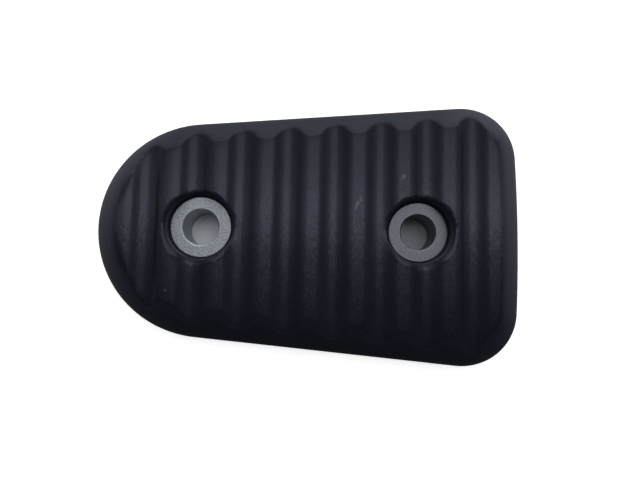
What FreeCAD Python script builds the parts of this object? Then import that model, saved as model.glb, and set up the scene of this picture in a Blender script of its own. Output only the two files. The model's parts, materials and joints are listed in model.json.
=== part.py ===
"""Motorcycle heel rest: a moulded rubber tread pad with two steel bolt sleeves bonded into it.

Millimetres. The origin is on the flat underside, halfway between the two bolt holes.
+X runs towards the wide end of the pad, +Z up out of the tread.
"""
import FreeCAD, Part

import math
import os

import Sketcher
from FreeCAD import Vector

DRIVING_SIZES = {
    # Plan outline of the pad
    "pad_length": 80.0,
    "pad_width": 50.0,
    "nose_radius": 20.5,
    "end_bow_radius": 300.0,
    # Section of the pad: a straight wall, a large round over it, and a flat tread that cuts the round
    "pad_thickness": 10.0,
    "edge_wall": 2.45,
    "crown_rise": 0.45,
    "tread_corner_radius": 2.7,
    "base_edge_break": 0.4,
    # Grooves across the tread, between flat lands
    "groove_pitch": 8.42,
    "groove_depth": 1.4,
    "groove_radius": 3.0,
    "shoulder_radius": 2.1,
    "tread_end_margin": 10.4,
    # Bolt sleeves and the recesses that take the bolt heads
    "bolt_spacing": 40.0,
    "bolt_diameter": 6.0,
    "bolt_clearance": 0.6,
    "sleeve_wall": 2.3,
    "sleeve_chamfer": 0.15,
    "front_recess_depth": 2.4,
    "rear_recess_depth": 3.0,
    "recess_ledge": 0.35,
    "recess_lip": 0.2,
}

CROWN_HEIGHT = "(sizes.pad_thickness + sizes.crown_rise)"
EDGE_ROUND = f"({CROWN_HEIGHT} - sizes.edge_wall)"
CORNER_RADIUS = f"(sizes.tread_corner_radius + {EDGE_ROUND})"
WIDEST = "max(sizes.pad_width; 2 * sizes.nose_radius)"
GROOVE_COUNT = "(floor((sizes.pad_length - 2 * sizes.tread_end_margin) / sizes.groove_pitch) + 1)"
GROOVE_SPAN = f"(({GROOVE_COUNT} - 1) * sizes.groove_pitch)"
BORE_RADIUS = "((sizes.bolt_diameter + sizes.bolt_clearance) / 2)"
SLEEVE_RADIUS = f"({BORE_RADIUS} + sizes.sleeve_wall)"
RECESS_RADIUS = f"({SLEEVE_RADIUS} + sizes.recess_ledge)"

SIDES = {"front": -1, "rear": 1}
UP = Vector(0, 0, 1)
START = 1
END = 2
CENTRE = 3
X_AXIS = -1
ORIGIN = (-1, START)
TOUCH = 0.001
RIM_SAMPLES = 5


def fill_sheet(doc):
    """Give every driving dimension an aliased cell, and return a reader of the cells."""
    sheet = doc.addObject("Spreadsheet::Sheet", "sizes")
    for row, (alias, value) in enumerate(DRIVING_SIZES.items(), start=1):
        sheet.set(f"A{row}", str(value))
        sheet.setAlias(f"A{row}", alias)
    doc.recompute()
    return lambda alias: float(sheet.get(alias))


def origin_feature(body, role):
    """Return one of the body's own origin planes or axes."""
    return next(feature for feature in body.Origin.OriginFeatures if feature.Role == role)


def new_sketch(body, name, plane_role, height=None):
    """Add a sketch on an origin plane of the body, raised by an expression where one is given."""
    sketch = body.newObject("Sketcher::SketchObject", name)
    sketch.AttachmentSupport = [(origin_feature(body, plane_role), "")]
    sketch.MapMode = "FlatFace"
    if height:
        sketch.setExpression("AttachmentOffset.Base.z", height)
    return sketch


def arc(centre, radius, start, end):
    """Arc of a circle that runs anticlockwise from one angle to the other, in radians."""
    return Part.ArcOfCircle(Part.Circle(centre, UP, radius), start, end)


def relate(sketch, kind, *elements):
    """Add a geometric constraint to the sketch."""
    sketch.addConstraint(Sketcher.Constraint(kind, *elements))


def dimension(sketch, name, expression, kind, *elements):
    """Add a dimension at its drawn value, and bind it to an expression of the sheet."""
    if kind == "Radius":
        drawn = sketch.Geometry[elements[0]].Radius
    else:
        first = sketch.getPoint(*elements[:2])
        second = sketch.getPoint(*elements[2:])
        drawn = second.x - first.x if kind == "DistanceX" else second.y - first.y
    index = sketch.addConstraint(Sketcher.Constraint(kind, *elements, drawn))
    sketch.renameConstraint(index, name)
    sketch.setExpression(f"Constraints.{name}", expression)


def draw_outline(sketch, size):
    """Plan outline: round nose, straight flaring sides, rounded corners and a bowed wide end."""
    half_length = size("pad_length") / 2
    nose = size("nose_radius")
    bow = size("end_bow_radius")
    corner = size("tread_corner_radius") + size("pad_thickness") + size("crown_rise") - size("edge_wall")
    nose_x = nose - half_length
    bow_x = half_length - bow
    corner_y = size("pad_width") / 2 - corner
    end_turn = math.asin(corner_y / (bow - corner))
    corner_x = bow_x + (bow - corner) * math.cos(end_turn)
    reach = math.hypot(corner_x - nose_x, corner_y)
    flare = math.atan2(corner_y, corner_x - nose_x) - math.asin((nose - corner) / reach)
    upper = math.pi / 2 + flare
    lower = 3 * math.pi / 2 - flare
    full_turn = 2 * math.pi

    nose_arc = arc(Vector(nose_x, 0, 0), nose, upper, lower)
    lower_corner = arc(Vector(corner_x, -corner_y, 0), corner, lower, full_turn - end_turn)
    end_arc = arc(Vector(bow_x, 0, 0), bow, -end_turn, end_turn)
    upper_corner = arc(Vector(corner_x, corner_y, 0), corner, end_turn, upper)
    lower_side = Part.LineSegment(nose_arc.EndPoint, lower_corner.StartPoint)
    upper_side = Part.LineSegment(upper_corner.EndPoint, nose_arc.StartPoint)
    loop = [nose_arc, lower_side, lower_corner, end_arc, upper_corner, upper_side]
    sketch.addGeometry(loop)

    for index in range(len(loop)):
        relate(sketch, "Tangent", index, END, (index + 1) % len(loop), START)
    relate(sketch, "PointOnObject", 0, CENTRE, X_AXIS)
    relate(sketch, "Symmetric", 2, CENTRE, 4, CENTRE, X_AXIS)
    relate(sketch, "Equal", 2, 4)
    dimension(sketch, "nose_radius", "sizes.nose_radius", "Radius", 0)
    dimension(sketch, "corner_radius", CORNER_RADIUS, "Radius", 2)
    dimension(sketch, "end_bow_radius", "sizes.end_bow_radius", "Radius", 3)
    nose_setback = "sizes.pad_length / 2 - sizes.nose_radius"
    bow_setback = "sizes.end_bow_radius - sizes.pad_length / 2"
    corner_rise = f"sizes.pad_width / 2 - {CORNER_RADIUS}"
    dimension(sketch, "nose_setback", nose_setback, "DistanceX", 0, CENTRE, *ORIGIN)
    dimension(sketch, "bow_setback", bow_setback, "DistanceX", 3, CENTRE, *ORIGIN)
    dimension(sketch, "corner_rise", corner_rise, "DistanceY", *ORIGIN, 4, CENTRE)


def draw_rectangle(sketch, half_x, half_y, length, width):
    """Rectangle about the origin, drawn at the half sizes and bound to the two expressions."""
    corners = [
        Vector(-half_x, -half_y, 0),
        Vector(half_x, -half_y, 0),
        Vector(half_x, half_y, 0),
        Vector(-half_x, half_y, 0),
    ]
    for index, corner in enumerate(corners):
        sketch.addGeometry(Part.LineSegment(corner, corners[(index + 1) % len(corners)]))
    for index in range(len(corners)):
        relate(sketch, "Coincident", index, END, (index + 1) % len(corners), START)
        relate(sketch, "Vertical" if index % 2 else "Horizontal", index)
    relate(sketch, "Symmetric", 0, START, 2, START, *ORIGIN)
    dimension(sketch, "length", length, "DistanceX", 0, START, 0, END)
    dimension(sketch, "width", width, "DistanceY", 1, START, 1, END)


def draw_groove(sketch, size):
    """Section of the first groove: a round bottom that runs tangent into two round shoulders."""
    top = size("pad_thickness")
    depth = size("groove_depth")
    bottom = size("groove_radius")
    shoulder = size("shoulder_radius")
    pitch = size("groove_pitch")
    gaps = math.floor((size("pad_length") - 2 * size("tread_end_margin")) / pitch)
    middle = -gaps * pitch / 2
    steepest = math.acos(1 - depth / (bottom + shoulder))
    half_width = (bottom + shoulder) * math.sin(steepest)
    down = 3 * math.pi / 2
    up = math.pi / 2
    right = middle + half_width
    left = middle - half_width
    crown = top + size("crown_rise")

    sketch.addGeometry([
        arc(Vector(middle, top - depth + bottom, 0), bottom, down - steepest, down + steepest),
        arc(Vector(right, top - shoulder, 0), shoulder, up, up + steepest),
        Part.LineSegment(Vector(right, top, 0), Vector(right, crown, 0)),
        Part.LineSegment(Vector(right, crown, 0), Vector(left, crown, 0)),
        Part.LineSegment(Vector(left, crown, 0), Vector(left, top, 0)),
        arc(Vector(left, top - shoulder, 0), shoulder, up - steepest, up),
    ])
    relate(sketch, "Tangent", 0, END, 1, END)
    relate(sketch, "Tangent", 0, START, 5, START)
    relate(sketch, "Coincident", 1, START, 2, START)
    relate(sketch, "Coincident", 2, END, 3, START)
    relate(sketch, "Coincident", 3, END, 4, START)
    relate(sketch, "Coincident", 4, END, 5, END)
    relate(sketch, "Vertical", 2)
    relate(sketch, "Horizontal", 3)
    relate(sketch, "Vertical", 4)
    relate(sketch, "Vertical", 1, CENTRE, 1, START)
    relate(sketch, "Vertical", 5, CENTRE, 5, END)
    relate(sketch, "Equal", 1, 5)
    dimension(sketch, "groove_radius", "sizes.groove_radius", "Radius", 0)
    dimension(sketch, "shoulder_radius", "sizes.shoulder_radius", "Radius", 1)
    dimension(sketch, "first_groove", f"{GROOVE_SPAN} / 2", "DistanceX", 0, CENTRE, *ORIGIN)
    bottom_centre = "sizes.pad_thickness - sizes.groove_depth + sizes.groove_radius"
    dimension(sketch, "bottom_centre", bottom_centre, "DistanceY", *ORIGIN, 0, CENTRE)
    dimension(sketch, "right_land", "sizes.pad_thickness", "DistanceY", *ORIGIN, 1, START)
    dimension(sketch, "left_land", "sizes.pad_thickness", "DistanceY", *ORIGIN, 5, END)
    dimension(sketch, "crown", CROWN_HEIGHT, "DistanceY", *ORIGIN, 2, END)


def sleeve_length(side_name):
    """Height of a sleeve, from the underside up to the floor of its recess."""
    return f"(sizes.pad_thickness - sizes.{side_name}_recess_depth)"


def draw_bolt_circle(sketch, size, side, radius_expression):
    """Circle on the bolt centre of one side."""
    centre = Vector(side * size("bolt_spacing") / 2, 0, 0)
    circle = sketch.addGeometry(Part.Circle(centre, UP, size("bolt_diameter")))
    relate(sketch, "PointOnObject", circle, CENTRE, X_AXIS)
    dimension(sketch, "radius", radius_expression, "Radius", circle)
    ends = [ORIGIN, (circle, CENTRE)]
    left, right = ends if side > 0 else reversed(ends)
    dimension(sketch, "reach", "sizes.bolt_spacing / 2", "DistanceX", *left, *right)


def cut_upwards(body, name, sketch):
    """Cut the sketch's outline from its own plane up through the top of the body."""
    pocket = body.newObject("PartDesign::Pocket", name)
    pocket.Profile = sketch
    pocket.Type = "ThroughAll"
    pocket.Reversed = True
    return pocket


def flat_face(shape, height):
    """Name of the flat face of the shape that lies at a height."""
    for index, face in enumerate(shape.Faces, start=1):
        if face.BoundBox.ZLength < TOUCH and abs(face.BoundBox.ZMin - height) < TOUCH:
            return f"Face{index}"
    raise RuntimeError(f"no flat face at height {height}")


def recess_rim(shape, size, side_name, recess_radius):
    """Names of the edges where the recess wall of one side meets the tread."""
    centre_x = SIDES[side_name] * size("bolt_spacing") / 2
    floor = size("pad_thickness") - size(f"{side_name}_recess_depth")
    names = []
    for index, edge in enumerate(shape.Edges, start=1):
        on_wall = all(
            abs(math.hypot(point.x - centre_x, point.y) - recess_radius) < TOUCH
            for point in edge.discretize(RIM_SAMPLES)
        )
        upright = edge.BoundBox.XLength < TOUCH and edge.BoundBox.YLength < TOUCH
        if on_wall and not upright and edge.BoundBox.ZMax > floor + TOUCH:
            names.append(f"Edge{index}")
    return names


def make_pad(doc, size):
    """Rubber pad: domed block, flat tread, grooves, sleeve holes and bolt-head recesses."""
    body = doc.addObject("PartDesign::Body", "heel_pad")
    body.Label = "heel_pad"

    outline = new_sketch(body, "outline", "XY_Plane")
    draw_outline(outline, size)
    block = body.newObject("PartDesign::Pad", "block")
    block.Profile = outline
    block.setExpression("Length", CROWN_HEIGHT)
    doc.recompute()

    dome = body.newObject("PartDesign::Fillet", "dome")
    dome.Base = (block, [flat_face(block.Shape, size("pad_thickness") + size("crown_rise"))])
    dome.setExpression("Radius", EDGE_ROUND)
    doc.recompute()

    base_edge = body.newObject("PartDesign::Chamfer", "base_edge")
    base_edge.Base = (dome, [flat_face(dome.Shape, 0.0)])
    base_edge.setExpression("Size", "sizes.base_edge_break")

    tread_plane = new_sketch(body, "tread_plane", "XY_Plane", "sizes.pad_thickness")
    half_width = max(size("pad_width") / 2, size("nose_radius"))
    draw_rectangle(tread_plane, size("pad_length") / 2, half_width, "sizes.pad_length", WIDEST)
    cut_upwards(body, "flat_tread", tread_plane)

    groove_section = new_sketch(body, "groove_section", "XZ_Plane")
    draw_groove(groove_section, size)
    groove = body.newObject("PartDesign::Pocket", "groove")
    groove.Profile = groove_section
    groove.SideType = "Symmetric"
    groove.setExpression("Length", WIDEST)
    doc.recompute()

    grooves = body.newObject("PartDesign::LinearPattern", "grooves")
    grooves.Originals = [groove]
    grooves.Direction = (origin_feature(body, "X_Axis"), [""])
    grooves.setExpression("Length", GROOVE_SPAN)
    grooves.setExpression("Occurrences", GROOVE_COUNT)
    body.Tip = grooves
    doc.recompute()

    for side_name, side in SIDES.items():
        hole_circle = new_sketch(body, f"{side_name}_hole_circle", "XY_Plane")
        draw_bolt_circle(hole_circle, size, side, SLEEVE_RADIUS)
        cut_upwards(body, f"{side_name}_hole", hole_circle)
        recess_circle = new_sketch(body, f"{side_name}_recess_circle", "XY_Plane", sleeve_length(side_name))
        draw_bolt_circle(recess_circle, size, side, RECESS_RADIUS)
        recess = cut_upwards(body, f"{side_name}_recess", recess_circle)
        doc.recompute()

    recess_radius = recess_circle.Geometry[0].Radius
    rims = [recess_rim(recess.Shape, size, side_name, recess_radius) for side_name in SIDES]
    lip = body.newObject("PartDesign::Chamfer", "recess_lips")
    lip.Base = (recess, sum(rims, []))
    lip.setExpression("Size", "sizes.recess_lip")
    return body


def make_sleeve(doc, size, side_name):
    """Turned steel sleeve, chamfered at both ends, on the bolt centre of one side."""
    label = f"{side_name}_sleeve"
    body = doc.addObject("PartDesign::Body", label)
    body.Label = label

    bore = (size("bolt_diameter") + size("bolt_clearance")) / 2
    outside = bore + size("sleeve_wall")
    ring = new_sketch(body, f"{label}_ring", "XY_Plane")
    for radius, expression in ((bore, BORE_RADIUS), (outside, SLEEVE_RADIUS)):
        index = ring.addGeometry(Part.Circle(Vector(0, 0, 0), UP, radius))
        relate(ring, "Coincident", index, CENTRE, *ORIGIN)
        dimension(ring, f"radius_{index}", expression, "Radius", index)
    tube = body.newObject("PartDesign::Pad", f"{label}_tube")
    tube.Profile = ring
    tube.setExpression("Length", sleeve_length(side_name))
    doc.recompute()

    rims = [
        f"Edge{index}"
        for index, edge in enumerate(tube.Shape.Edges, start=1)
        if isinstance(edge.Curve, Part.Circle)
    ]
    chamfer = body.newObject("PartDesign::Chamfer", f"{label}_chamfers")
    chamfer.Base = (tube, rims)
    chamfer.setExpression("Size", "sizes.sleeve_chamfer")
    body.setExpression("Placement.Base.x", f"{SIDES[side_name]} * sizes.bolt_spacing / 2")
    return body


def check(doc, bodies):
    """Stop if any object of the document failed, a cut removed nothing or a piece isn't one valid solid."""
    for item in doc.Objects:
        if "Invalid" in item.State or "Error" in item.State:
            raise RuntimeError(f"{item.Label} failed: {item.State}")
        cuts = item.isDerivedFrom("PartDesign::Pocket") or item.isDerivedFrom("PartDesign::LinearPattern")
        if cuts and item.Shape.Volume >= item.BaseFeature.Shape.Volume:
            raise RuntimeError(f"{item.Label} cuts nothing")
    for body in bodies:
        if body.Shape.isNull() or not body.Shape.isValid() or len(body.Shape.Solids) != 1:
            raise RuntimeError(f"{body.Label} is not one valid solid")


def main():
    doc = FreeCAD.newDocument("heel_rest")
    size = fill_sheet(doc)
    bodies = [make_pad(doc, size)]
    for side_name in SIDES:
        bodies.append(make_sleeve(doc, size, side_name))
    doc.recompute()
    check(doc, bodies)
    os.makedirs("parts", exist_ok=True)
    for body in bodies:
        body.Shape.exportStep(f"parts/{body.Label}.step")
        box = body.Shape.BoundBox
        print(f"{body.Label}: {body.Shape.Volume:.1f} mm3, {len(body.Shape.Faces)} faces, {box}")


main()
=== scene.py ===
"""Looks of a motorcycle heel rest: a moulded rubber pad, two steel bolt sleeves and a plain studio.

Laid out as an add-on and run as a script. Metres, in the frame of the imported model: +X towards the wide end,
+Z up out of the tread, the origin on the underside between the two bolt holes.
"""
import json
import math

import bmesh
import bpy
from bpy.props import FloatProperty, FloatVectorProperty, IntProperty, PointerProperty
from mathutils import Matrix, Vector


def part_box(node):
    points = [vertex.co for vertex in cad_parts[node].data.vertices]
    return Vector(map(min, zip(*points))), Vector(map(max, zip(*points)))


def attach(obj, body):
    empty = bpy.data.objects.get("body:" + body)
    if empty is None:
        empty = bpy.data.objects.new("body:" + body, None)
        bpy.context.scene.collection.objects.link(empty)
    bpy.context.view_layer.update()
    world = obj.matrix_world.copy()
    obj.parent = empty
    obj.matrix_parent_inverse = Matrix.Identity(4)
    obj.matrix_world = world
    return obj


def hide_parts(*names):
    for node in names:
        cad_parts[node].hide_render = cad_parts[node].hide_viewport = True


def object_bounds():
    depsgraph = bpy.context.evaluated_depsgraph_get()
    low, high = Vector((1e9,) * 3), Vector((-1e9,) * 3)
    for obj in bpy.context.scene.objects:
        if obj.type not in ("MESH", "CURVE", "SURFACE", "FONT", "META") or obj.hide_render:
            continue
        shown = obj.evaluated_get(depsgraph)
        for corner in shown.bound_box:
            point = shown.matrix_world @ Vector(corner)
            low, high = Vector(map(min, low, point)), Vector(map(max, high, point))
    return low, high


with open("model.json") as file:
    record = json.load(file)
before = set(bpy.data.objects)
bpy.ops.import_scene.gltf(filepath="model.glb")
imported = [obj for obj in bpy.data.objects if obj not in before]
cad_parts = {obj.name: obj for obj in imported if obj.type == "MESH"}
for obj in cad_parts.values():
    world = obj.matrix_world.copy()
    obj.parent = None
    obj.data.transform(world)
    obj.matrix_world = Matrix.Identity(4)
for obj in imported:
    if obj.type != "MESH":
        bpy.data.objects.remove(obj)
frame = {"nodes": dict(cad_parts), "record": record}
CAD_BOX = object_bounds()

bl_info = {
    "name": "Heel rest",
    "version": (1, 0, 0),
    "blender": (4, 5, 0),
    "location": "3D View > Sidebar > Heel rest",
    "description": "Builds a rubber motorcycle heel rest with two steel bolt sleeves on a studio stage",
    "category": "Object",
}

BODY = "root"
MM = 0.001
SLEEVES = {"front_sleeve": "front_bore", "rear_sleeve": "rear_bore"}
BORES = {mount["name"]: mount for mount in frame["record"]["mounts"] if mount["kind"] == "bore"}
BORE_RADIUS = {name: bore["dims"]["r_mm"] * MM for name, bore in BORES.items()}

# Camera that took the photograph, in pixels of its image, and its stand-in
IMAGE_WIDTH_PX = 640
FOCAL_LENGTH_PX = 495.49
SENSOR_WIDTH_MM = 36.0
NEAREST_SEEN = 1 * MM

# Levels of a mask at the two ends of the span that it is spread over
RISING = (0.0, 1.0)
FALLING = (1.0, 0.0)
WHITE = (1.0, 1.0, 1.0, 1.0)

# Sockets of the Mix node that carry colours
MIX_FIRST_COLOUR = 6
MIX_SECOND_COLOUR = 7
MIX_COLOUR = 2

# Share of the way to its neighbours' middle that a point goes in one smoothing pass
SMOOTHING_FACTOR = 0.5
# Points of a turned sleeve's seam that are closer than this are one
SEAM_GAP = 0.001 * MM
EDGE_ROUND_STEPS = 2

# The grooves end at this distance from the middle, and the rounded ends begin
TREAD_END = 34 * MM
# Painted reflection: the rounded edge is painted paler between these distances along the pad and places across
# it
PAINTED_SHEEN_ALONG = (24 * MM, 36 * MM)
PAINTED_SHEEN_ACROSS = (-21 * MM, 6 * MM)

# The finish follows the tilt of a face: the share of one axis in its normal, from where to where it changes
WALL_BY_Z = (0.15, 0.35)
ROUNDED_END_BY_X = (0.2, 0.55)
ROUNDED_SIDE_BY_Y = (0.06, 0.35)
FLANK_BY_X = (0.4, 0.68)
FLANK_MATTNESS = (0.0, 0.33)

# Textures of the rubber: sizes, and the levels of noise between which a mark goes from none to full
BLOOM_PATCH = 6 * MM
BLOOM_LEVELS = (0.4, 0.7)
STROKE_STRETCH = (1.0, 5.0, 1.0)
SPECK_TO_GRAIN = 0.7
SPECK_LEVELS = (0.35, 0.65)
SPECK_ROUGHNESS = (-0.06, 0.10)
# Specks fade between these levels of mattness, from all of them to a fifth
SPECK_FADE_BY_MATT = (0.0, 0.3)
SPECK_FADE = (1.0, 0.2)
SCUFF_STREAK = 0.5 * MM
SCUFF_LEVELS = (0.40, 0.62)
RUBBER_GLOSS_TINT = (0.74, 0.81, 1.0, 1.0)

# Pale rub marks on the lands: middle, half width and half length, and the turn of the length from Y
SCUFFS = (
    ((8.5 * MM, 4.7 * MM), (0.45 * MM, 1.6 * MM), math.radians(25)),
    ((16.6 * MM, 9.8 * MM), (0.5 * MM, 0.9 * MM), math.radians(30)),
    ((-25.3 * MM, -11.5 * MM), (0.25 * MM, 0.35 * MM), 0.0),
)

# Finishes of the sleeves: pits are darker than the steel by a factor, and shallower the closer it is to 1
STEEL_FINISHES = {
    "front_sleeve": {"name": "blasted_steel", "grain_size": 0.27 * MM, "pits": 0.55, "roughness": 0.5},
    "rear_sleeve": {"name": "turned_steel", "grain_size": 0.5 * MM, "pits": 0.85, "roughness": 0.45},
}
PIT_LEVELS = (0.4, 0.6)
PIT_DEPTH = 0.05 * MM
# Painted highlight: the edge round a bore is painted paler than the rest of its sleeve by this factor
PAINTED_HIGHLIGHT_PALER = 2.0

# Half sizes of the floor and of the patch that shows in the bores, and their depths under the pad
FLOOR_HALF = (3.0, 3.0)
FLOOR_DROP = 0.05 * MM
PATCH_HALF = (28 * MM, 8 * MM)
PATCH_DROP = 0.02 * MM
# Colour of the floor in reflections, where it has light of its own
MIRRORED_FLOOR = (0.1, 0.1, 0.1)

# Brightness of the light bank by the direction's Y: dark in front, brightest just behind straight up
BANK_ALONG = (
    (-0.12, 0.0),
    (-0.06, 0.02),
    (-0.02, 0.12),
    (0.02, 0.16),
    (0.05, 0.21),
    (0.075, 0.37),
    (0.09, 0.64),
    (0.105, 0.86),
    (0.12, 0.98),
    (0.14, 1.0),
    (0.17, 0.80),
    (0.21, 0.58),
    (0.27, 0.44),
    (0.31, 0.41),
    (0.38, 0.31),
    (0.54, 0.34),
    (0.72, 0.76),
    (1.0, 0.9),
)
# Fading of the light bank to both sides, by the direction's X
BANK_ACROSS = (
    (-1.0, 0.12),
    (-0.8, 0.24),
    (-0.6, 0.34),
    (-0.4, 0.43),
    (-0.2, 0.77),
    (0.0, 1.0),
    (0.2, 0.88),
    (0.4, 0.98),
    (0.6, 0.52),
    (0.8, 0.30),
    (1.0, 0.14),
)
# Brightness of the floor in reflections by its bearing from the middle of the pad, as the share of Y in the
# distance: lit behind the pad and dim in front of it
FLOOR_AROUND = ((-0.9, 0.02), (-0.5, 0.15), (0.0, 0.8), (0.5, 1.0))


def length(name, description, default):
    """A length of the part, shown in the scene's unit."""
    return FloatProperty(name=name, description=description, default=default, subtype="DISTANCE",
                         unit="LENGTH", precision=5)


def colour(name, description, default):
    """A linear colour with a picker."""
    return FloatVectorProperty(name=name, description=description, default=default, subtype="COLOR",
                               size=3, min=0.0, max=1.0)


def share(name, description, default):
    """A plain number from 0 to 1."""
    return FloatProperty(name=name, description=description, default=default, min=0.0, max=1.0,
                         subtype="FACTOR")


def count(name, description, default, least=0):
    """A whole number."""
    return IntProperty(name=name, description=description, default=default, min=least)


def radiance(name, description, default):
    """Brightness of a surface or of the surroundings, where 1 looks white."""
    return FloatProperty(name=name, description=description, default=default, min=0.0)


class HeelRestPadSettings(bpy.types.PropertyGroup):
    """Mesh and finish of the rubber pad."""

    mesh_size: length("Mesh size", "Side of the pad's even mesh", 0.36 * MM)
    edge_passes: count("Edge passes", "Smoothing passes that round the moulded edges", 14)
    lip_passes: count("Lip passes", "Smoothing passes on the crisp lips of the two recesses", 3)
    lip_reach: length("Lip reach", "Distance from a sleeve within which the pad has a crisp lip", 1.2 * MM)
    rubber: colour("Rubber", "Body colour of the rubber", (0.0043, 0.0048, 0.0100))
    rubber_bloom: colour("Bloom", "Paler tone that the rubber has in patches", (0.0062, 0.0067, 0.0125))
    rim: colour("Rim", "Tone of the matt rounded edge", (0.0058, 0.0064, 0.0122))
    # Painted reflection: paler tone on the two ends of the rounded edge, fading out to the front
    painted_end_sheen: colour("Rubbed end", "Tone of the rounded edge where boots rub it", (0.031, 0.032, 0.045))
    # Painted light: paler tone on the upright walls
    wall: colour("Wall", "Tone of the dusty upright walls", (0.036, 0.037, 0.048))
    scuff: colour("Scuff", "Tone of the pale rub marks", (0.09, 0.092, 0.102))
    tread_roughness: share("Tread roughness", "Roughness of the worn tread", 0.14)
    edge_roughness: share("Edge roughness", "Roughness of the rounded edge", 0.58)
    gloss: share("Gloss", "Level of the rubber's reflections, 0.5 as on plain plastic", 0.245)
    grain: length("Grain", "Width of the moulded grain", 0.4 * MM)
    grain_depth: length("Grain depth", "Depth of the moulded grain", 0.035 * MM)


class HeelRestSleeveSettings(bpy.types.PropertyGroup):
    """Shape and finish of the two sleeves."""

    chamfer: length("Chamfer", "Chamfer at each end of a sleeve", 0.15 * MM)
    edge_round: length("Edge round", "Rounding of the turned edges", 0.04 * MM)
    facets: count("Facets", "Steps round a sleeve", 128, least=16)
    front_steel: colour("Front steel", "Colour of the front sleeve", (0.315, 0.335, 0.372))
    rear_steel: colour("Rear steel", "Colour of the rear sleeve", (0.124, 0.134, 0.151))
    # Width of the painted highlight round a bore
    painted_highlight_width: length("Rubbed edge", "Width of the bright edge round a bore", 0.35 * MM)
    bore_roughness: share("Bore roughness", "Roughness of the reamed bores", 0.35)


class HeelRestStageSettings(bpy.types.PropertyGroup):
    """Camera, floor and light."""

    camera_place: FloatVectorProperty(name="Camera place", description="Place of the camera over the pad",
                                      default=(-0.00057625, -0.00939705, 0.09808895), subtype="TRANSLATION",
                                      unit="LENGTH", precision=5)
    camera_turn: FloatVectorProperty(name="Camera turn", description="Turn of the camera from straight down",
                                     default=(0.08229, -0.02783, 0.01999), subtype="EULER", precision=5)
    floor: colour("Floor", "Colour of the floor", (0.8, 0.8, 0.8))
    floor_glow: radiance("Floor glow", "Light that the floor adds for the camera, to come out white", 0.7)
    floor_front: colour("Floor, front bore", "Colour of the floor under the front bore", (0.76, 0.78, 0.82))
    # Painted shade: darker floor under the rear bore
    floor_rear_painted_shade: colour("Floor, rear bore", "Colour of the floor under the rear bore", (0.36, 0.37, 0.40))
    floor_mirrored: radiance("Floor mirrored", "Light that the floor adds in reflections", 0.4)
    bank: radiance("Light bank", "Brightness of the broad light behind and over the pad", 4.1)
    room: radiance("Room", "Brightness of the dim room", 0.12)


def feed(tree, socket, value):
    """Link another node's output to a socket, or set a plain value on it."""
    if isinstance(value, bpy.types.NodeSocket):
        tree.links.new(value, socket)
    else:
        socket.default_value = value


def add_node(tree, kind, settings=None, **inputs):
    """Add a shader node, set its fields, and feed its sockets by name."""
    node = tree.nodes.new(kind)
    for field, value in (settings or {}).items():
        setattr(node, field, value)
    for name, value in inputs.items():
        feed(tree, node.inputs[name.replace("_", " ")], value)
    return node


def new_material(name):
    """A node material without nodes, and its tree."""
    material = bpy.data.materials.new(name)
    material.use_nodes = True
    material.node_tree.nodes.clear()
    return material, material.node_tree


def noise(tree, place, size, detail, roughness):
    """Noise whose features are about one size across."""
    node = add_node(tree, "ShaderNodeTexNoise", Vector=place, Scale=1.0 / size, Detail=detail,
                    Roughness=roughness)
    return node.outputs["Fac"]


def drawn_out(tree, place, factors):
    """Place for a texture whose features are longer by a factor along each axis."""
    node = add_node(tree, "ShaderNodeMapping", {"vector_type": "TEXTURE"}, Vector=place, Scale=factors)
    return node.outputs["Vector"]


def spread(tree, value, span, levels=RISING):
    """Map a value within a span to the levels at the span's two ends."""
    node = add_node(tree, "ShaderNodeMapRange", Value=value, From_Min=span[0], From_Max=span[1],
                    To_Min=levels[0], To_Max=levels[1])
    return node.outputs["Result"]


def compute(tree, operation, *values):
    """Result of a sum or comparison of numbers and sockets."""
    node = add_node(tree, "ShaderNodeMath", {"operation": operation})
    for socket, value in zip(node.inputs, values):
        feed(tree, socket, value)
    return node.outputs["Value"]


def product(tree, first, *others):
    """All the values multiplied."""
    for other in others:
        first = compute(tree, "MULTIPLY", first, other)
    return first


def sum_of_squares(tree, first, second):
    """Two values squared and added."""
    return compute(tree, "MULTIPLY_ADD", first, first, compute(tree, "MULTIPLY", second, second))


def split(tree, vector):
    """The X, Y and Z of a vector."""
    return add_node(tree, "ShaderNodeSeparateXYZ", Vector=vector).outputs[:]


def profile(tree, value, stops):
    """Level that runs straight from stop to stop, each given as a value and a level from 0 to 1."""
    first = stops[0][0]
    last = stops[-1][0]
    node = add_node(tree, "ShaderNodeValToRGB", Fac=spread(tree, value, (first, last)))
    ramp = node.color_ramp
    while len(ramp.elements) < len(stops):
        ramp.elements.new(1.0)
    for element, (place, level) in zip(ramp.elements, stops):
        element.position = (place - first) / (last - first)
        element.color = (level, level, level, 1.0)
    return node.outputs["Color"]


def blend_colours(tree, factor, first, second):
    """Mix two colours, or outputs that carry one, by a factor."""
    node = add_node(tree, "ShaderNodeMix", {"data_type": "RGBA"}, Factor=factor)
    for index, value in ((MIX_FIRST_COLOUR, first), (MIX_SECOND_COLOUR, second)):
        is_output = isinstance(value, bpy.types.NodeSocket)
        feed(tree, node.inputs[index], value if is_output else (*value, 1.0))
    return node.outputs[MIX_COLOUR]


def wall_mask(tree, normal):
    """1 on upright walls, 0 on faces that look up or down."""
    return spread(tree, compute(tree, "ABSOLUTE", split(tree, normal)[2]), WALL_BY_Z, FALLING)


def rounded_edge(tree, place, normal):
    """1 on the rounded edge round the pad, 0 on the tread."""
    x = split(tree, place)[0]
    normal_x, normal_y, _ = split(tree, normal)
    past_tread = compute(tree, "GREATER_THAN", compute(tree, "ABSOLUTE", x), TREAD_END)
    at_ends = spread(tree, compute(tree, "ABSOLUTE", normal_x), ROUNDED_END_BY_X)
    at_sides = spread(tree, compute(tree, "ABSOLUTE", normal_y), ROUNDED_SIDE_BY_Y)
    return compute(tree, "MAXIMUM", product(tree, at_ends, past_tread), at_sides)


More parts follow.
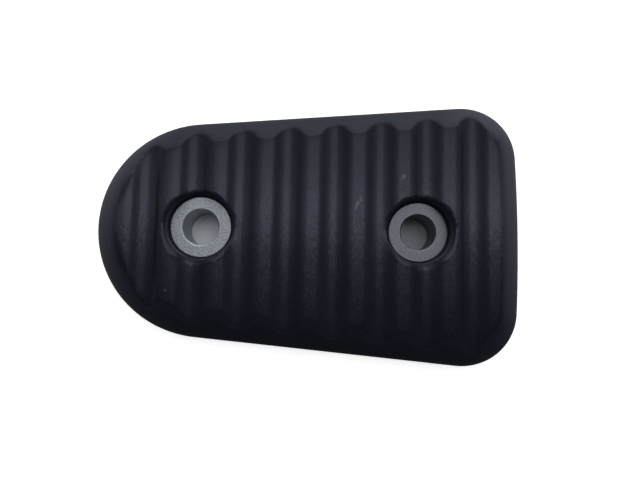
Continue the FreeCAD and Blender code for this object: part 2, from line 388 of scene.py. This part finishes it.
def painted_end_sheen(tree, place, edge):
    """Painted reflection on the rounded edge: 1 at the two ends, fading towards the sides and out to the
    front.
    """
    x, y, _ = split(tree, place)
    along = spread(tree, compute(tree, "ABSOLUTE", x), PAINTED_SHEEN_ALONG)
    across = spread(tree, y, PAINTED_SHEEN_ACROSS)
    return product(tree, along, across, edge)


def flank_mask(tree, normal):
    """Mattness of the groove flanks, from 0 on the lands."""
    return spread(tree, compute(tree, "ABSOLUTE", split(tree, normal)[0]), FLANK_BY_X, FLANK_MATTNESS)


def scuff_marks(tree, place, normal):
    """Strength of the pale rub marks on the tread: broken streaks inside each mark's oval."""
    marks = None
    for (middle_x, middle_y), (half_width, half_length), turn in SCUFFS:
        oval = add_node(tree, "ShaderNodeMapping", {"vector_type": "TEXTURE"}, Vector=place,
                        Location=(middle_x, middle_y, 0.0), Rotation=(0.0, 0.0, -turn),
                        Scale=(half_width, half_length, 1.0))
        across, along, _ = split(tree, oval.outputs["Vector"])
        mark = spread(tree, sum_of_squares(tree, across, along), RISING, FALLING)
        marks = mark if marks is None else compute(tree, "MAXIMUM", marks, mark)
    streaks = spread(tree, noise(tree, place, SCUFF_STREAK, detail=3.0, roughness=0.7), SCUFF_LEVELS)
    looks_up = compute(tree, "GREATER_THAN", split(tree, normal)[2], 0.0)
    return product(tree, marks, streaks, looks_up)


def rubber_tone(tree, pad, place, normal, edge, wall):
    """Colour of the rubber: bloom in patches, a greyer rim, a painted reflection on the two ends of the rim,
    painted light on the upright walls, and rub marks.
    """
    patches = noise(tree, place, BLOOM_PATCH, detail=4.0, roughness=0.6)
    tone = blend_colours(tree, spread(tree, patches, BLOOM_LEVELS), pad.rubber, pad.rubber_bloom)
    tone = blend_colours(tree, edge, tone, pad.rim)
    # Painted reflection on the two ends of the rounded edge
    tone = blend_colours(tree, painted_end_sheen(tree, place, edge), tone, pad.painted_end_sheen)
    # Painted light on the upright walls
    tone = blend_colours(tree, wall, tone, pad.wall)
    return blend_colours(tree, scuff_marks(tree, place, normal), tone, pad.scuff)


def rubber_roughness(tree, pad, place, matt):
    """Roughness from the satin tread to the matt edge, mottled by specks that fade on matt faces."""
    even = spread(tree, matt, RISING, (pad.tread_roughness, pad.edge_roughness))
    specks = noise(tree, place, SPECK_TO_GRAIN * pad.grain, detail=3.0, roughness=0.7)
    mottled = product(tree, spread(tree, specks, SPECK_LEVELS, SPECK_ROUGHNESS),
                      spread(tree, matt, SPECK_FADE_BY_MATT, SPECK_FADE))
    return compute(tree, "ADD", even, mottled)


def rubber_material(pad):
    """Black moulded rubber with a fine grain, satin on the worn tread and matt on the edge."""
    material, tree = new_material("moulded_rubber")
    coordinates = add_node(tree, "ShaderNodeTexCoord").outputs
    place = coordinates["Object"]
    normal = coordinates["Normal"]
    edge = rounded_edge(tree, place, normal)
    wall = wall_mask(tree, normal)
    matt = compute(tree, "MAXIMUM", compute(tree, "MAXIMUM", edge, flank_mask(tree, normal)), wall)
    strokes = noise(tree, drawn_out(tree, place, STROKE_STRETCH), pad.grain, detail=2.0, roughness=0.6)
    bump = add_node(tree, "ShaderNodeBump", Height=strokes, Strength=1.0, Distance=pad.grain_depth)
    shader = add_node(tree, "ShaderNodeBsdfPrincipled",
                      Base_Color=rubber_tone(tree, pad, place, normal, edge, wall),
                      Roughness=rubber_roughness(tree, pad, place, matt),
                      Specular_IOR_Level=pad.gloss, Specular_Tint=RUBBER_GLOSS_TINT,
                      Normal=bump.outputs["Normal"])
    add_node(tree, "ShaderNodeOutputMaterial", Surface=shader.outputs["BSDF"])
    return material


def from_axis(tree, place, node):
    """Distance from the upright axis through the middle of a node."""
    low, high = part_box(node)
    middle = (low + high) / 2
    x, y, _ = split(tree, place)
    off_x = compute(tree, "SUBTRACT", x, middle.x)
    off_y = compute(tree, "SUBTRACT", y, middle.y)
    return compute(tree, "SQRT", sum_of_squares(tree, off_x, off_y))


def steel_material(node, steel, settings, name, grain_size, pits, roughness):
    """Matt steel with a pitted grain, a smooth bore and a painted highlight on the edge round it."""
    material, tree = new_material(name)
    coordinates = add_node(tree, "ShaderNodeTexCoord").outputs
    place = coordinates["Object"]
    grain = noise(tree, place, grain_size, detail=3.0, roughness=0.65)
    dark = tuple(pits * part for part in steel)
    # Tone of the painted highlight round the bore
    pale = tuple(PAINTED_HIGHLIGHT_PALER * part for part in steel)
    wall = wall_mask(tree, coordinates["Normal"])
    bore = BORE_RADIUS[SLEEVES[node]]
    # Painted highlight on the edge round the bore
    bore_highlight = spread(tree, from_axis(tree, place, node), (bore, bore + settings.painted_highlight_width), FALLING)
    tone = blend_colours(tree, spread(tree, grain, PIT_LEVELS), dark, steel)
    tone = blend_colours(tree, product(tree, bore_highlight, grain), tone, pale)
    tone = blend_colours(tree, wall, tone, steel)
    smooth = spread(tree, wall, RISING, (roughness, settings.bore_roughness))
    bump = add_node(tree, "ShaderNodeBump", Height=grain, Strength=1.0 - pits, Distance=PIT_DEPTH)
    shader = add_node(tree, "ShaderNodeBsdfPrincipled", Base_Color=tone, Roughness=smooth, Metallic=1.0,
                      Normal=bump.outputs["Normal"])
    add_node(tree, "ShaderNodeOutputMaterial", Surface=shader.outputs["BSDF"])
    return material


def link_piece(piece, node, material):
    """Dress a new piece, let it stand for its node and ride on the part's body."""
    piece.data.materials.clear()
    piece.data.materials.append(material)
    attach(piece, BODY)
    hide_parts(node)


def apply_modifiers(context, piece):
    """Turn the result of a piece's modifiers into its mesh."""
    result = piece.evaluated_get(context.evaluated_depsgraph_get())
    piece.data = bpy.data.meshes.new_from_object(result)
    piece.modifiers.clear()


def soften(piece, passes, group=""):
    """Smooth a piece evenly, or only the points of one group."""
    smoothing = piece.modifiers.new("soft_edges", "SMOOTH")
    smoothing.factor = SMOOTHING_FACTOR
    smoothing.iterations = passes
    smoothing.vertex_group = group


def group_away_from_sleeves(piece, reach):
    """Group the points of a piece that are farther than a reach from both sleeves, and give its name."""
    rings = []
    for node in SLEEVES:
        low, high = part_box(node)
        rings.append(((low + high).xy / 2, (high.x - low.x) / 2 + reach))
    group = piece.vertex_groups.new(name="away_from_sleeves")
    away = [
        point.index
        for point in piece.data.vertices
        if all((point.co.xy - middle).length > radius for middle, radius in rings)
    ]
    group.add(away, 1.0, "REPLACE")
    return group.name


class HEELREST_OT_rubber_pad(bpy.types.Operator):
    """Build the moulded rubber pad with softly rounded edges"""

    bl_idname = "heelrest.rubber_pad"
    bl_label = "Rubber pad"

    def execute(self, context):
        pad = context.scene.heelrest_pad
        piece = bpy.data.objects.new("rubber_pad", frame["nodes"]["heel_pad"].data.copy())
        context.scene.collection.objects.link(piece)
        remesh = piece.modifiers.new("even_mesh", "REMESH")
        remesh.mode = "VOXEL"
        remesh.voxel_size = pad.mesh_size
        remesh.use_smooth_shade = True
        soften(piece, pad.lip_passes)
        apply_modifiers(context, piece)
        soften(piece, pad.edge_passes - pad.lip_passes, group_away_from_sleeves(piece, pad.lip_reach))
        apply_modifiers(context, piece)
        piece.vertex_groups.clear()
        link_piece(piece, "heel_pad", rubber_material(pad))
        return {"FINISHED"}


def turned_sleeve(name, node, bore, settings):
    """Ring turned about its bolt axis, with a chamfer and a small round at every edge."""
    low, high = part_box(node)
    centre = (low + high) / 2
    outer = (high.x - low.x) / 2
    cut = settings.chamfer
    section = [
        (bore, low.z + cut),
        (bore + cut, low.z),
        (outer - cut, low.z),
        (outer, low.z + cut),
        (outer, high.z - cut),
        (outer - cut, high.z),
        (bore + cut, high.z),
        (bore, high.z - cut),
    ]
    turned = bmesh.new()
    corners = [turned.verts.new((centre.x + radius, centre.y, height)) for radius, height in section]
    edges = [turned.edges.new((corners[i - 1], corners[i])) for i in range(len(corners))]
    bmesh.ops.spin(turned, geom=corners + edges, cent=(centre.x, centre.y, 0.0), axis=(0.0, 0.0, 1.0),
                   angle=math.tau, steps=settings.facets, use_merge=True)
    bmesh.ops.remove_doubles(turned, verts=turned.verts, dist=SEAM_GAP)
    bmesh.ops.recalc_face_normals(turned, faces=turned.faces)
    mesh = bpy.data.meshes.new(name)
    turned.to_mesh(mesh)
    turned.free()
    mesh.polygons.foreach_set("use_smooth", [True] * len(mesh.polygons))
    piece = bpy.data.objects.new(name, mesh)
    bpy.context.scene.collection.objects.link(piece)
    edge = piece.modifiers.new("edge_round", "BEVEL")
    edge.width = settings.edge_round
    edge.segments = EDGE_ROUND_STEPS
    edge.limit_method = "ANGLE"
    edge.harden_normals = True
    return piece


class HEELREST_OT_sleeves(bpy.types.Operator):
    """Build the two turned steel sleeves"""

    bl_idname = "heelrest.sleeves"
    bl_label = "Steel sleeves"

    def execute(self, context):
        settings = context.scene.heelrest_sleeves
        steels = {"front_sleeve": settings.front_steel, "rear_sleeve": settings.rear_steel}
        for node, mount in SLEEVES.items():
            piece = turned_sleeve(f"steel_{node}", node, BORE_RADIUS[mount], settings)
            finish = steel_material(node, steels[node], settings, **STEEL_FINISHES[node])
            link_piece(piece, node, finish)
        return {"FINISHED"}


def floor_material(stage):
    """Pale matt floor that glows for the camera, to look white, and has its own light in reflections."""
    material, tree = new_material("pale_floor")
    # Sampled as a lamp, the glow would be lost on rough faces
    material.cycles.emission_sampling = "NONE"
    path = add_node(tree, "ShaderNodeLightPath").outputs
    mirrored = compute(tree, "MAXIMUM", path["Is Glossy Ray"], path["Is Transmission Ray"])
    x, y, _ = split(tree, add_node(tree, "ShaderNodeTexCoord").outputs["Object"])
    away = compute(tree, "SQRT", sum_of_squares(tree, x, y))
    lit = profile(tree, compute(tree, "DIVIDE", y, away), FLOOR_AROUND)
    mirrored_light = product(tree, lit, stage.floor_mirrored, mirrored)
    strength = compute(tree, "MULTIPLY_ADD", path["Is Camera Ray"], stage.floor_glow, mirrored_light)
    light = add_node(tree, "ShaderNodeEmission", Strength=strength)
    matt = add_node(tree, "ShaderNodeBsdfDiffuse",
                    Color=blend_colours(tree, mirrored, stage.floor, MIRRORED_FLOOR))
    both = tree.nodes.new("ShaderNodeAddShader")
    tree.links.new(matt.outputs["BSDF"], both.inputs[0])
    tree.links.new(light.outputs["Emission"], both.inputs[1])
    add_node(tree, "ShaderNodeOutputMaterial", Surface=both.outputs["Shader"])
    return material


def shaded_floor_material(stage):
    """Matt floor under the pad, which shows in the bores, with painted shade that darkens it towards the rear
    bore.
    """
    material, tree = new_material("floor_under_pad")
    x = split(tree, add_node(tree, "ShaderNodeTexCoord").outputs["Object"])[0]
    # Painted shade: the floor darkens from the front bore to the rear one
    rear = spread(tree, x, [BORES[mount]["pos_m"][0] for mount in SLEEVES.values()])
    matt = add_node(tree, "ShaderNodeBsdfDiffuse",
                    Color=blend_colours(tree, rear, stage.floor_front, stage.floor_rear_painted_shade))
    add_node(tree, "ShaderNodeOutputMaterial", Surface=matt.outputs["BSDF"])
    return material


def add_floor(name, half, level, material):
    """Rectangle of floor about the origin, which isn't part of the object."""
    half_x, half_y = half
    corners = [
        (-half_x, -half_y, level),
        (half_x, -half_y, level),
        (half_x, half_y, level),
        (-half_x, half_y, level),
    ]
    mesh = bpy.data.meshes.new(name)
    mesh.from_pydata(corners, [], [range(len(corners))])
    mesh.materials.append(material)
    floor = bpy.data.objects.new(name, mesh)
    bpy.context.scene.collection.objects.link(floor)


def studio_world(stage):
    """Dim room with one broad bank of light behind and over the pad, white where the camera sees it."""
    world = bpy.data.worlds.new("studio")
    world.use_nodes = True
    tree = world.node_tree
    tree.nodes.clear()
    x, y, _ = split(tree, add_node(tree, "ShaderNodeTexCoord").outputs["Generated"])
    bank = product(tree, profile(tree, y, BANK_ALONG), profile(tree, x, BANK_ACROSS), stage.bank)
    light = compute(tree, "ADD", bank, stage.room)
    seen = add_node(tree, "ShaderNodeLightPath").outputs["Is Camera Ray"]
    unseen_light = product(tree, light, compute(tree, "SUBTRACT", 1.0, seen))
    background = add_node(tree, "ShaderNodeBackground", Color=WHITE,
                          Strength=compute(tree, "MAXIMUM", unseen_light, seen))
    add_node(tree, "ShaderNodeOutputWorld", Surface=background.outputs["Background"])
    return world


def add_camera(stage):
    """Camera over the pad, at the photo's angle and focal length."""
    data = bpy.data.cameras.new("camera")
    data.sensor_width = SENSOR_WIDTH_MM
    data.lens = FOCAL_LENGTH_PX * SENSOR_WIDTH_MM / IMAGE_WIDTH_PX
    data.clip_start = NEAREST_SEEN
    camera = bpy.data.objects.new("camera", data)
    camera.location = stage.camera_place
    camera.rotation_euler = stage.camera_turn
    bpy.context.scene.collection.objects.link(camera)
    return camera


class HEELREST_OT_stage(bpy.types.Operator):
    """Lay the floor and set the light and the camera"""

    bl_idname = "heelrest.stage"
    bl_label = "Studio stage"

    def execute(self, context):
        scene = context.scene
        stage = scene.heelrest_stage
        scene.view_settings.view_transform = "Standard"
        underside = CAD_BOX[0].z
        add_floor("floor", FLOOR_HALF, underside - FLOOR_DROP, floor_material(stage))
        add_floor("floor_under_pad", PATCH_HALF, underside - PATCH_DROP, shaded_floor_material(stage))
        scene.world = studio_world(stage)
        scene.camera = add_camera(stage)
        return {"FINISHED"}


class HEELREST_PT_build(bpy.types.Panel):
    """Lists the pieces of the heel rest"""

    bl_label = "Heel rest"
    bl_idname = "HEELREST_PT_build"
    bl_space_type = "VIEW_3D"
    bl_region_type = "UI"
    bl_category = "Heel rest"

    def draw(self, context):
        for operator, name in zip(OPERATORS, SETTINGS):
            box = self.layout.box()
            box.operator(operator.bl_idname)
            settings = getattr(context.scene, name)
            for field in type(settings).__annotations__:
                box.prop(settings, field)


OPERATORS = (HEELREST_OT_rubber_pad, HEELREST_OT_sleeves, HEELREST_OT_stage)
SETTINGS = {
    "heelrest_pad": HeelRestPadSettings,
    "heelrest_sleeves": HeelRestSleeveSettings,
    "heelrest_stage": HeelRestStageSettings,
}
CLASSES = (*SETTINGS.values(), *OPERATORS, HEELREST_PT_build)


def register():
    """Make the classes and the scene's settings known to Blender."""
    for entry in CLASSES:
        bpy.utils.register_class(entry)
    for name, group in SETTINGS.items():
        setattr(bpy.types.Scene, name, PointerProperty(type=group))


def unregister():
    """Take the settings and the classes out again."""
    for name in SETTINGS:
        delattr(bpy.types.Scene, name)
    for entry in reversed(CLASSES):
        bpy.utils.unregister_class(entry)


def main():
    """Build the pieces and the stage."""
    register()
    bpy.ops.heelrest.rubber_pad()
    bpy.ops.heelrest.sleeves()
    bpy.ops.heelrest.stage()


if __name__ == "__main__":
    main()
